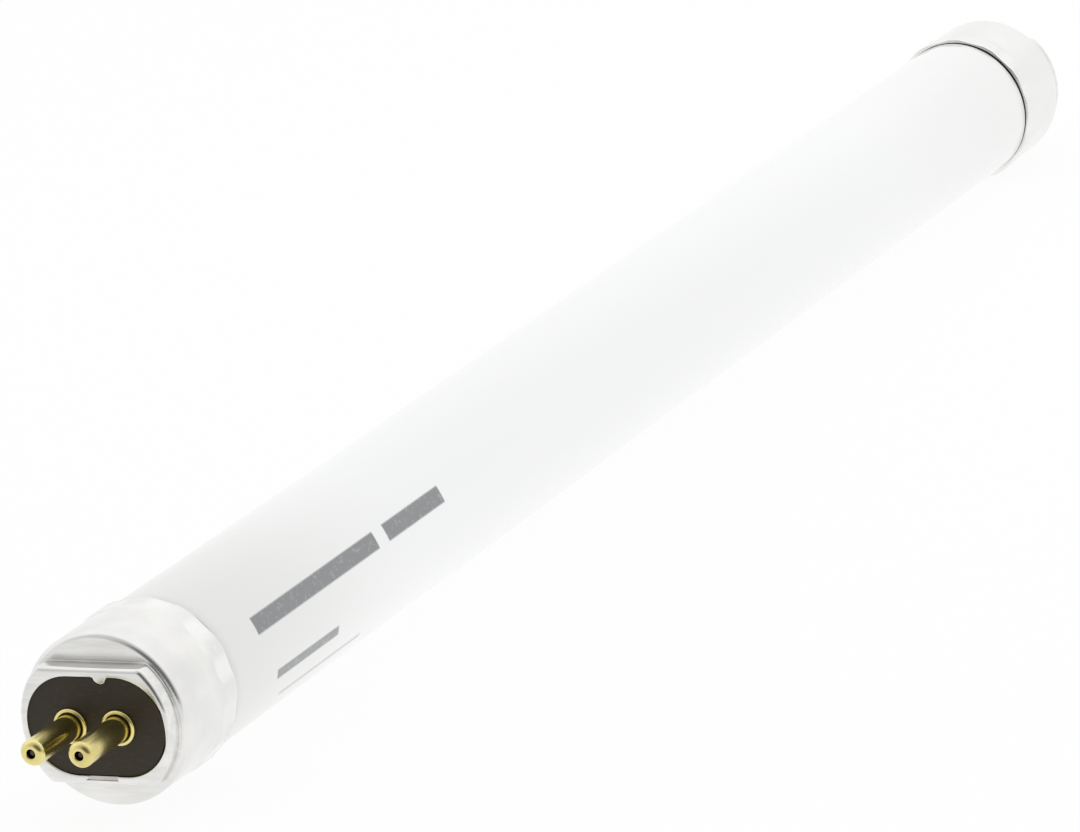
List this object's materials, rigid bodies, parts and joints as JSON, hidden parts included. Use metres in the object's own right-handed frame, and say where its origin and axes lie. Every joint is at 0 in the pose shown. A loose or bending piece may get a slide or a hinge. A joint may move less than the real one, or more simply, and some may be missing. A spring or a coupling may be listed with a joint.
{
  "type": "fluorescent tube",
  "caption": "Straight white fluorescent tube with drawn aluminium end caps, dark insulator plates and hollow brass contact pins that plug into a lamp holder.",
  "frame": {"origin": "middle of the tube, on its axis", "axes": "+X along the tube from the front end to the rear end, +Y along the line of a cap's pins, +Z square to the flats of the caps"},
  "size_m": [0.2264, 0.0162, 0.0163],
  "materials": {
    "coated_glass": "glossy glass over a white phosphor coat",
    "aluminium": "drawn, bright",
    "insulator": "satin moulded laminate",
    "brass": "bright drawn",
    "lead_wire": "drawn wire",
    "cement": "matt cement"
  },
  "bodies": {
    "root": {"glass_tube": "coated_glass", "front_cap": "aluminium", "rear_cap": "aluminium", "front_insulator": "insulator", "rear_insulator": "insulator", "front_pin_left": "brass", "front_pin_right": "brass", "rear_pin_left": "brass", "rear_pin_right": "brass", "front_lead_wire_left": "lead_wire", "front_lead_wire_right": "lead_wire", "rear_lead_wire_left": "lead_wire", "rear_lead_wire_right": "lead_wire", "front_cement": "cement", "rear_cement": "cement"}
  },
  "joints": []
}
